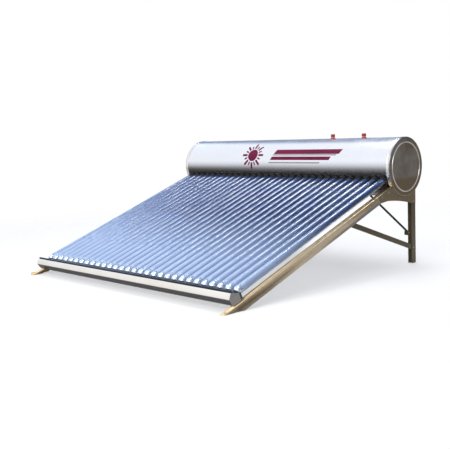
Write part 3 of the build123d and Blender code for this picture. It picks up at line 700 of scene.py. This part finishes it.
class HEATER_OT_glass_tubes(bpy.types.Operator):
    """Outer glass, coated inner tube, silvered end and sprung clip of every tube"""
    bl_idname = "heater.glass_tubes"
    bl_label = "Glass tubes"

    mouth_inset = 2 * MM        # the inner tube stops this far before the outer one's open end
    silver_gap = 0.25 * MM      # between the outer glass and its silvering
    silver_wall = 0.3 * MM
    clip_wall = 0.4 * MM
    finger_steps = 24           # faces round the clip, every fourth of them a gap between two fingers

    def execute(self, context):
        sizes = context.scene.heater_tubes
        glass = clear_glass("tube_glass_clear", sizes.dust)
        coat = coated_glass("tube_coating", sizes.coating, sizes.coating_near_tank)
        silver = mirror_glass("tube_silvering", sizes.silvering, sizes.fringe)
        spring = steel("clip_steel", sizes.clip, sizes.clip_shade, 0.3, (200, 200, 200))
        core_low = sizes.core_short - TUBE_RADIUS + sizes.core_radius
        core_high = TUBE_RUN - self.mouth_inset
        silver_radius = TUBE_RADIUS - sizes.wall - self.silver_gap
        outer = self.round_ended("outer", TUBE_RADIUS, 0.0, TUBE_RUN, sizes.sides, sizes.wall)
        core = self.round_ended("core", sizes.core_radius, core_low, core_high, sizes.sides, sizes.core_wall)
        tip = self.round_ended("silver", silver_radius, 0.0, sizes.silver, sizes.sides, self.silver_wall)
        clip = self.clip(sizes, core_low)
        kinds = (("glass", outer, glass), ("absorber", core, coat), ("silver", tip, silver),
                 ("clip", clip, spring))
        for number, node in enumerate(TUBE_NODES, 1):
            place = Matrix.Translation(tube_tip(node)) @ Matrix.Rotation(TILT - pi / 2, 4, "X")
            for kind, pattern, finish in kinds:
                piece = copy_of(pattern, f"{node}_{kind}", place)
                dress(piece, finish, "tube_glass", f"glass_{number:02d}", node)
        for pattern in (outer, core, tip, clip):
            bpy.data.objects.remove(pattern)
        return {"FINISHED"}

    def round_ended(self, name, radius, low, high, sides, wall):
        """A round-ended tube that stands on Z, from its half ball up to its open end."""
        deselect()
        bpy.ops.mesh.primitive_uv_sphere_add(segments=sides, ring_count=14, radius=radius)
        obj = bpy.context.object
        obj.name = name
        bpy.ops.object.mode_set(mode="EDIT")
        cut_away(obj, (0, 0, 0), (0, 0, 1))
        bpy.ops.mesh.select_all(action="SELECT")
        bpy.ops.transform.translate(value=(0, 0, low))
        level = low
        for share in (0.1, 0.5, 0.9, 1.0):
            stop = low + (high - low) * share
            pick(obj, "edges", lambda e: e.is_boundary)
            extrude_by((0, 0, stop - level))
            level = stop
        bpy.ops.mesh.select_all(action="SELECT")
        bpy.ops.mesh.normals_make_consistent(inside=False)
        mesh = bmesh.from_edit_mesh(obj.data)
        lowest = min(mesh.faces, key=lambda face: face.calc_center_median().z)
        if lowest.normal.z > 0:
            bpy.ops.mesh.flip_normals()
        bpy.ops.object.mode_set(mode="OBJECT")
        add_wall(obj, wall)
        return obj

    def clip(self, sizes, core_low):
        """A crown of sprung fingers that centres the inner tube in the outer one."""
        small = sizes.core_radius + 0.3 * MM
        large = TUBE_RADIUS - sizes.wall - 0.9 * MM
        top = core_low - sizes.core_radius * 0.2 + 0.6 * sizes.clip_length
        low = top - sizes.clip_length
        collar = top - 0.3 * sizes.clip_length      # the fingers spread out below it
        profile = [(small, 0, top), (small + 0.3 * MM, 0, collar),
                   (large, 0, low + 0.2 * sizes.clip_length), (large - 1.5 * MM, 0, low)]
        obj = spun("clip", profile, (0, 0, 0), (0, 0, 1), self.finger_steps)
        select_only(obj)
        bpy.ops.object.mode_set(mode="EDIT")

        def gap(face):
            middle = face.calc_center_median()
            sector = int((degrees(atan2(middle.y, middle.x)) + 360) % 360 * self.finger_steps / 360)
            return sector % 4 == 3 and middle.z < collar
        pick(obj, "faces", gap)
        bpy.ops.mesh.delete(type="FACE")
        bpy.ops.object.mode_set(mode="OBJECT")
        add_wall(obj, self.clip_wall)
        return obj


class HEATER_OT_front_legs(bpy.types.Operator):
    """Folded front legs with a rolled groove, a flared lip and a bolted foot"""
    bl_idname = "heater.front_legs"
    bl_label = "Front legs"

    # Heights off the slope, measured from the plane of the tubes' axes.
    top = -55 * MM              # outer face of the top wall
    web_end = -97 * MM
    lip_end = -112 * MM
    lip_out = 9 * MM            # the flared lip stands out this far from the web
    # Places down the slope.
    start = 44 * MM
    lip_start = 240 * MM
    past_floor = 2.1            # drawn to here, and sawn off at the floor
    clearance = 0.2 * MM        # kept inside the frame's own box

    def execute(self, context):
        sizes = context.scene.heater_frame
        self.top_highlight_colour = sizes.steel_top_highlight[:]
        # The top wall gets a painted highlight.
        finish = steel("leg_steel", sizes.steel, sizes.steel_shade, 0.30, (260, 3, 260), (TILT, 0, 0),
                       painted_light=self.painted_top_highlight)
        for piece, nodes in ((self.leg(sizes), ["front_leg_right"]), (self.foot(sizes), [])):
            twin = copy_of(piece, piece.name.replace("right", "left"), MIRROR)
            dress(piece, finish, "frame_steel", FIXED, *nodes)
            dress(twin, finish, "frame_steel", FIXED, *(node.replace("right", "left") for node in nodes))
        return {"FINISHED"}

    def painted_top_highlight(self, f):
        """Painted highlight: the legs' top wall is painted brighter and warmer than the web, for the light
        falling on it.
        """
        level = f.axis("Y") * OFF_SLOPE.y + f.axis("Z") * OFF_SLOPE.z
        edge = level.between(self.height_of(self.top - 5 * MM), self.height_of(self.top - 3 * MM))
        return edge, self.top_highlight_colour

    def height_of(self, h):
        return on_slope(0, 0, h).dot(OFF_SLOPE)

    def leg(self, sizes):
        """The rolled channel: drawn as a section, drawn out down the slope, and cut at both ends."""
        outer = LEG_HIGH.x - self.lip_out
        inner = LEG_LOW.x
        top = self.top
        bottom = top - sizes.groove
        section = [(inner, top - 12 * MM), (inner, top), (outer - 24 * MM, top), (outer - 21 * MM, bottom),
                   (outer - 15 * MM, bottom), (outer - 12 * MM, top), (outer, top), (outer, self.web_end)]
        obj = draw_line("front_leg_right_sheet", [on_slope(x, self.start, h) for x, h in section])
        bpy.ops.mesh.select_all(action="SELECT")
        extrude_by(DOWN_SLOPE * (self.lip_start - self.start))
        extrude_by(DOWN_SLOPE * (self.past_floor - self.lip_start))
        edge_height = self.height_of(self.web_end)
        edge_run = on_slope(0, self.lip_start, 0).dot(DOWN_SLOPE)

        def flared(edge):
            """The long stretch of the web's low edge, below the lip's start."""
            return (edge.is_boundary and edge.calc_length() > 0.5
                    and all(abs(v.co.dot(OFF_SLOPE) - edge_height) < TOUCH for v in edge.verts)
                    and all(v.co.dot(DOWN_SLOPE) > edge_run - TOUCH for v in edge.verts)
                    and abs(edge.verts[0].co.x - outer) < TOUCH)
        pick(obj, "edges", flared)
        extrude_by(OFF_SLOPE * (self.lip_end - self.web_end) + Vector((self.lip_out, 0, 0)))
        bend_edges(obj, DOWN_SLOPE, sizes.bend * 0.5, 2)
        cut_away(obj, (0, 0, -10 * MM), (0, 0, -1))
        cut_away(obj, on_slope(0, 62 * MM, top), OFF_SLOPE * 18 - DOWN_SLOPE * 42)
        face_out(obj, lambda face: abs(face.normal.x) > 0.99, Vector((1, 0, 0)))
        bpy.ops.object.mode_set(mode="OBJECT")
        add_wall(obj, sizes.sheet)
        trim(obj, (0, 0, 0.1 * MM), (0, 0, -1))
        trim(obj, (0, LEG_LOW.y + self.clearance, 0), (0, -1, 0))
        return obj

    def foot(self, sizes):
        """Angle foot inside the leg, with its anchor hole."""
        outer = LEG_HIGH.x - self.lip_out - sizes.sheet
        inner = LEG_LOW.x + sizes.sheet
        front = LEG_LOW.y + 10 * MM
        base = self.clearance
        obj = draw_line("front_foot_right", [Vector((outer, front, 18 * MM)), Vector((outer, front, base)),
                                             Vector((inner, front, base))])
        bpy.ops.mesh.select_all(action="SELECT")
        extrude_by((0, 94 * MM, 0))
        bend_edges(obj, Vector((0, 1, 0)), 3 * MM)
        face_out(obj, lambda face: abs(face.normal.z) > 0.99, Vector((0, 0, -1)))
        bpy.ops.object.mode_set(mode="OBJECT")
        add_wall(obj, 3 * MM)
        deselect()
        hole = ((inner + outer) / 2, LEG_LOW.y + 66 * MM, 0)
        bpy.ops.mesh.primitive_cylinder_add(vertices=32, radius=5.5 * MM, depth=20 * MM, location=hole)
        drill = bpy.context.object
        select_only(obj)
        cut = obj.modifiers.new("hole", "BOOLEAN")
        cut.object = drill
        cut.operation = "DIFFERENCE"
        bpy.ops.object.modifier_apply(modifier=cut.name)
        bpy.data.objects.remove(drill)
        return obj


class HEATER_OT_bottom_rail(bpy.types.Operator):
    """The folded rail that carries the tubes' lower ends"""
    bl_idname = "heater.bottom_rail"
    bl_label = "Bottom rail"

    # Millimetres beyond the tubes' tips and off the slope: floor, low fold, nose, top fold and its hem.
    section = ((0, -55), (68, -55), (82, -34), (91, 3), (69, 32), (60, 35), (61.5, 31))
    nose = section[3]
    stretches = 4
    wall = 1.6 * MM

    def execute(self, context):
        sizes = context.scene.heater_frame
        tip = TUBE_RUN + TUBE_RADIUS
        half = RAIL_HIGH.x
        line = [on_slope(-half, tip + s * MM, h * MM) for s, h in self.section]
        crease = line[self.section.index(self.nose)].z
        # Painted shade: below the nose's crease the rail is painted dark.
        finish = steel("rail_steel_rolled", sizes.rail_steel, sizes.rail_shade, 0.42, (3, 240, 240),
                       painted_shade=(sizes.rail_painted_shade, crease - 3 * MM, crease - 1 * MM, 0.0))
        obj = draw_line("bottom_rail_sheet", line)
        bpy.ops.mesh.select_all(action="SELECT")
        for _ in range(self.stretches):
            extrude_by((2 * half / self.stretches, 0, 0))
        bend_edges(obj, Vector((1, 0, 0)), 3 * MM)
        face_out(obj, lambda face: face.normal.dot(DOWN_SLOPE) ** 2 > 0.7, DOWN_SLOPE)
        bpy.ops.object.mode_set(mode="OBJECT")
        add_wall(obj, self.wall)
        dress(obj, finish, "rail_steel", FIXED, "bottom_rail")
        return {"FINISHED"}


class HEATER_OT_end_caps(bpy.types.Operator):
    """Spun end caps with a rolled rim, a pressed ring and a shallow dome"""
    bl_idname = "heater.end_caps"
    bl_label = "End caps"

    shoulder = 7 * MM           # bend between the face and the skirt
    ring_radius = 190 * MM
    ring_half = 5.5 * MM
    ring_rise = 4.4 * MM
    # The dome inside the ring: radius, and rise above the cap's face.
    dome = ((176, -0.8), (150, -0.3), (115, 0.5), (75, 1.2), (35, 1.6), (0, 1.7))
    wall = 1.2 * MM

    def execute(self, context):
        sizes = context.scene.heater_tank
        # Painted highlight colour for the skirt and the pressed ring.
        self.cap_highlight_colour = sizes.cap_painted_highlight[:]
        # Painted reflection: the caps' lower third is painted brown.
        finish = steel("cap_steel_spun", sizes.cap, sizes.cap_shade, 0.17, (300, 14, 14), marks=0.9,
                       painted_shade=(sizes.cap_painted_shade, TANK.z - 105 * MM, TANK.z - 70 * MM, 0.0),
                       painted_light=self.painted_highlights)
        points = [Vector((x, TANK.y, TANK.z + radius)) for x, radius in self.profile()]
        cap = spun("end_cap_right_shell", points, TANK, (1, 0, 0), 128)
        select_only(cap)
        bpy.ops.object.mode_set(mode="EDIT")
        face_out(cap, lambda face: face.normal.x ** 2 > 0.95, Vector((1, 0, 0)))
        bpy.ops.object.mode_set(mode="OBJECT")
        add_wall(cap, self.wall)
        twin = copy_of(cap, "end_cap_left_shell", MIRROR)
        dress(cap, finish, "cap_steel", FIXED, "end_cap_right")
        dress(twin, finish, "cap_steel", FIXED, "end_cap_left")
        return {"FINISHED"}

    def painted_highlights(self, f):
        """Painted highlights: the skirt and the pressed ring are painted bright for the light they catch; the
        middle keeps the duller base.
        """
        x, y, z = (f.axis(name) for name in "XYZ")
        radius = ((y - TANK.y) ** 2.0 + (z - TANK.z) ** 2.0) ** 0.5
        skirt = 1 - (x * x).between((CAP_HIGH.x - 16 * MM) ** 2, (CAP_HIGH.x - 10 * MM) ** 2)
        inner = self.ring_radius - 7 * MM
        outer = self.ring_radius + 7 * MM
        ring = radius.between(inner, inner + 3 * MM) * (1 - radius.between(outer - 3 * MM, outer))
        return (skirt + ring * 0.8).clamped(), self.cap_highlight_colour

    def profile(self):
        """(x, radius) from the skirt's open edge over its bead, the shoulder and the ring to the middle."""
        edge = CAP_LOW.x
        rim = (CAP_HIGH.z - CAP_LOW.z) / 2 - 0.2 * MM
        face = CAP_HIGH.x - 4 * MM
        flat = face - 0.5 * MM
        bend = self.shoulder
        points = [(edge, rim - 0.6 * MM), (edge + 1 * MM, rim), (edge + 6 * MM, rim),
                  (edge + 7.5 * MM, rim - 0.7 * MM), (edge + 9 * MM, rim)]
        turns = [pi / 2 * step / 6 for step in range(7)]
        points += [(face - bend + bend * sin(turn), rim - bend + bend * cos(turn)) for turn in turns]
        points.append((flat, self.ring_radius + 8 * MM))
        turns = [pi * step / 8 for step in range(9)]
        points += [(flat + self.ring_rise * sin(turn), self.ring_radius + self.ring_half * cos(turn))
                   for turn in turns]
        points += [(face + rise * MM, radius * MM) for radius, rise in self.dome]
        return points


class HEATER_OT_emblem(bpy.types.Operator):
    """A plain sun emblem and stripes, printed on film on the tank's jacket"""
    bl_idname = "heater.emblem"
    bl_label = "Emblem"

    # Places on the unrolled film: x along the tank, y up from the emblem's middle line.
    height_angle = radians(27)      # of the middle line, above the level of the tank's axis
    film = 0.35 * MM
    lift = 0.15 * MM
    sun_x = -0.28
    sun_radius = 56 * MM
    ray_start = 66 * MM
    rays = ((126 * MM, 10 * MM), (100 * MM, 7 * MM))     # reach and half width, long and short by turns
    ray_count = 16
    slant = 0.55
    # Middle height, start, end and width of each stripe.
    stripes = ((30 * MM, -0.04, 0.66, 44 * MM), (-30 * MM, -0.04, 0.60, 30 * MM))
    lines = ((0.0, -0.04, 0.64, 11 * MM), (-68 * MM, -0.04, 0.52, 11 * MM))

    def execute(self, context):
        sizes = context.scene.heater_tank
        crimson = painted_film("emblem_crimson", sizes.emblem, scaled(sizes.emblem, 0.8))
        grey = painted_film("emblem_grey", sizes.emblem_grey, scaled(sizes.emblem_grey, 0.85))
        prints = [(self.disc("emblem_sun"), crimson), (self.sunburst("emblem_rays"), crimson)]
        for name, shapes, finish in (("stripe", self.stripes, crimson), ("line", self.lines, grey)):
            for number, shape in enumerate(shapes, 1):
                prints.append((self.band(f"emblem_{name}_{number}", *shape), finish))
        for piece, finish in prints:
            self.wrap(piece)
            dress(piece, finish, "jacket_steel", FIXED)
        return {"FINISHED"}

    def disc(self, name):
        """A flat disc with rings of faces, so that it can bend."""
        deselect()
        bpy.ops.mesh.primitive_circle_add(vertices=48, radius=self.sun_radius, fill_type="NOTHING")
        obj = bpy.context.object
        obj.name = name
        bpy.ops.object.mode_set(mode="EDIT")
        ring = self.sun_radius
        for share in (0.75, 0.45, 0.15):
            pick(obj, "edges", lambda e: all(abs(v.co.length - ring) < 0.01 * MM for v in e.verts))
            bpy.ops.mesh.extrude_region_move()
            shrink = self.sun_radius * share / ring
            bpy.ops.transform.resize(value=(shrink, shrink, 1))
            ring = self.sun_radius * share
        bpy.ops.mesh.merge(type="CENTER")
        bpy.ops.object.mode_set(mode="OBJECT")
        settle(obj, (self.sun_x, 0, 0))
        return obj

    def sunburst(self, name):
        """Long and short wedges all round the disc, joined."""
        wedges = []
        for number in range(self.ray_count):
            reach, half = self.rays[number % 2]
            deselect()
            bpy.ops.mesh.primitive_grid_add(x_subdivisions=3, y_subdivisions=8, size=1)
            ray = bpy.context.object
            bpy.ops.object.mode_set(mode="EDIT")
            bpy.ops.mesh.select_all(action="SELECT")
            bpy.ops.transform.resize(value=(2 * half, reach - self.ray_start, 1))
            bpy.ops.transform.translate(value=(0, (reach + self.ray_start) / 2, 0))
            pick(ray, "verts", lambda v: v.co.y > reach - 0.1 * MM)
            bpy.ops.mesh.merge(type="CENTER")
            bpy.ops.object.mode_set(mode="OBJECT")
            settle(ray, (self.sun_x, 0, 0), (0, 0, 2 * pi * number / self.ray_count))
            wedges.append(ray)
        select_only(wedges[0])
        for ray in wedges[1:]:
            ray.select_set(True)
        bpy.ops.object.join()
        wedges[0].name = name
        return wedges[0]

    def band(self, name, middle, start, end, wide):
        """A stripe with slanted ends."""
        rows, columns = 6, 48
        heights = [wide * (row / rows - 0.5) for row in range(rows + 1)]
        edge = [Vector((start + self.slant * (middle + y), middle + y, 0)) for y in heights]
        obj = draw_line(name, edge)
        bpy.ops.mesh.select_all(action="SELECT")
        for _ in range(columns):
            extrude_by(((end - start) / columns, 0, 0))
        bpy.ops.object.mode_set(mode="OBJECT")
        return obj

    def wrap(self, obj):
        """Bends a flat print to the jacket's radius, lays it on and gives it its thickness."""
        radius = JACKET_RADIUS + self.lift
        settle(obj, turn=(pi / 2, 0, 0))
        heights = [vertex.co.z for vertex in obj.data.vertices]
        bend = obj.modifiers.new("bend", "SIMPLE_DEFORM")
        bend.deform_method = "BEND"
        bend.deform_axis = "X"
        bend.angle = (max(heights) - min(heights)) / radius
        bpy.ops.object.modifier_apply(modifier=bend.name)
        settle(obj, (0, -radius, 0))
        settle(obj, (0, TANK.y, TANK.z), (-self.height_angle, 0, 0))
        outwards = Vector((0, -cos(self.height_angle), sin(self.height_angle)))
        bpy.ops.object.mode_set(mode="EDIT")
        face_out(obj, lambda face: True, outwards)
        bpy.ops.object.mode_set(mode="OBJECT")
        thick = obj.modifiers.new("film", "SOLIDIFY")
        thick.thickness = self.film
        thick.offset = 1
        bpy.ops.object.modifier_apply(modifier=thick.name)
        smooth(obj)


class HEATER_OT_other_finishes(bpy.types.Operator):
    """Finishes of the pieces whose shape comes straight from the frame"""
    bl_idname = "heater.other_finishes"
    bl_label = "Other finishes"

    def execute(self, context):
        tank = context.scene.heater_tank
        legs = context.scene.heater_frame
        small = context.scene.heater_small
        self.inner_fill_colour = legs.upright_inner_fill[:]
        # Painted shade and reflection: the jacket darkens towards its bottom, and higher up on the side
        # towards the tubes.
        painted_dark = (tank.jacket_painted_shade, TANK.z - 120 * MM, TANK.z - 6 * MM, 0.3)
        for finish, nodes in (
            (steel("jacket_steel_brushed", tank.jacket, tank.jacket_shade, 0.26, (500, 6, 6), marks=0.15,
                   painted_shade=painted_dark), ["outer_jacket"]),
            (steel("brace_steel", legs.brace, legs.brace_shade, 0.32, (30, 200, 200)),
             ["side_brace_right", "side_brace_left", "rear_tie_bar", "knee_braces"]),
            (steel("saddle_steel", legs.saddle, legs.saddle_shade, 0.30, (30, 200, 200)),
             ["saddle_right", "saddle_left"]),
            # The rear legs' inner walls get painted fill light.
            (steel("upright_steel", legs.brace, legs.brace_shade, 0.32, (220, 220, 3), metallic=0.75,
                   painted_light=self.painted_inner_fill), ["rear_leg_right", "rear_leg_left"]),
            (steel("rail_end_steel", small.end_plate, small.end_plate_shade, 0.4, (120, 120, 120)),
             ["rail_end_plates"]),
            (moulded("cup_plastic", small.cup, small.cup_dust, 0.36), ["tail_cups"]),
            (moulded("ring_rubber", small.ring, small.ring_dust, 0.6, pitch=160.0, bump=0.4), ["dust_rings"]),
            (moulded("grommet_rubber", small.grommet, small.grommet_dust, 0.5), ["port_grommets"]),
            (moulded("cap_plastic_crimson", small.screw_cap, small.screw_cap_dust, 0.28, pitch=260.0,
                     bump=0.12, coat=0.5), ["port_cap_inner", "port_cap_outer"]),
            (moulded("seal_silicone", small.seal, small.seal_dust, 0.5),
             ["port_washer_inner", "port_washer_outer", "tube_seals"]),
            (steel("port_brass_turned", small.port, small.port_shade, 0.24, (80, 80, 600)),
             ["top_ports", "rear_ports"]),
            (steel("bolt_steel", small.bolt, small.bolt_shade, 0.28, (300, 300, 300)),
             ["frame_bolts", "frame_nuts"]),
            (steel("inner_tank_steel", small.vessel, small.vessel_shade, 0.34, (4, 220, 220)),
             ["inner_tank"]),
            (moulded("rod_magnesium", small.anode, small.anode_shade, 0.5, pitch=90.0, bump=0.3,
                     metallic=1.0), ["anode_rod"]),
            (foam_fill("rigid_foam", small.foam, small.foam_shade), ["insulation_foam"]),
        ):
            for node in nodes:
                repaint(node, finish)
        return {"FINISHED"}

    def painted_inner_fill(self, f):
        """Painted fill light: the rear legs' walls behind the web are painted brighter, lifting the shade
        inside the open channel.
        """
        web = LEG_HIGH.x - HEATER_OT_front_legs.lip_out
        x = f.axis("X")
        return 1 - (x * x).between((web - 3 * MM) ** 2, (web - 1.6 * MM) ** 2), self.inner_fill_colour


class HEATER_PT_panel(bpy.types.Panel):
    """Lists the steps that build the heater"""
    bl_label = "Solar water heater"
    bl_idname = "HEATER_PT_panel"
    bl_space_type = "VIEW_3D"
    bl_region_type = "UI"
    bl_category = "Heater"

    def draw(self, context):
        for operator in OPERATORS:
            self.layout.operator(operator.bl_idname)


SETTINGS = {"heater_tubes": TubeSettings, "heater_frame": FrameSettings, "heater_tank": TankSettings,
            "heater_small": SmallPartSettings}
OPERATORS = (HEATER_OT_stage, HEATER_OT_glass_tubes, HEATER_OT_front_legs, HEATER_OT_bottom_rail,
             HEATER_OT_end_caps, HEATER_OT_emblem, HEATER_OT_other_finishes)
CLASSES = (*SETTINGS.values(), *OPERATORS, HEATER_PT_panel)


def register():
    for made in CLASSES:
        bpy.utils.register_class(made)
    for name, group in SETTINGS.items():
        setattr(bpy.types.Scene, name, PointerProperty(type=group))


def unregister():
    for name in SETTINGS:
        delattr(bpy.types.Scene, name)
    for made in reversed(CLASSES):
        bpy.utils.unregister_class(made)


def main():
    register()
    bpy.ops.heater.stage()
    bpy.ops.heater.glass_tubes()
    bpy.ops.heater.front_legs()
    bpy.ops.heater.bottom_rail()
    bpy.ops.heater.end_caps()
    bpy.ops.heater.emblem()
    bpy.ops.heater.other_finishes()
    deselect()


if __name__ == "__main__":
    main()
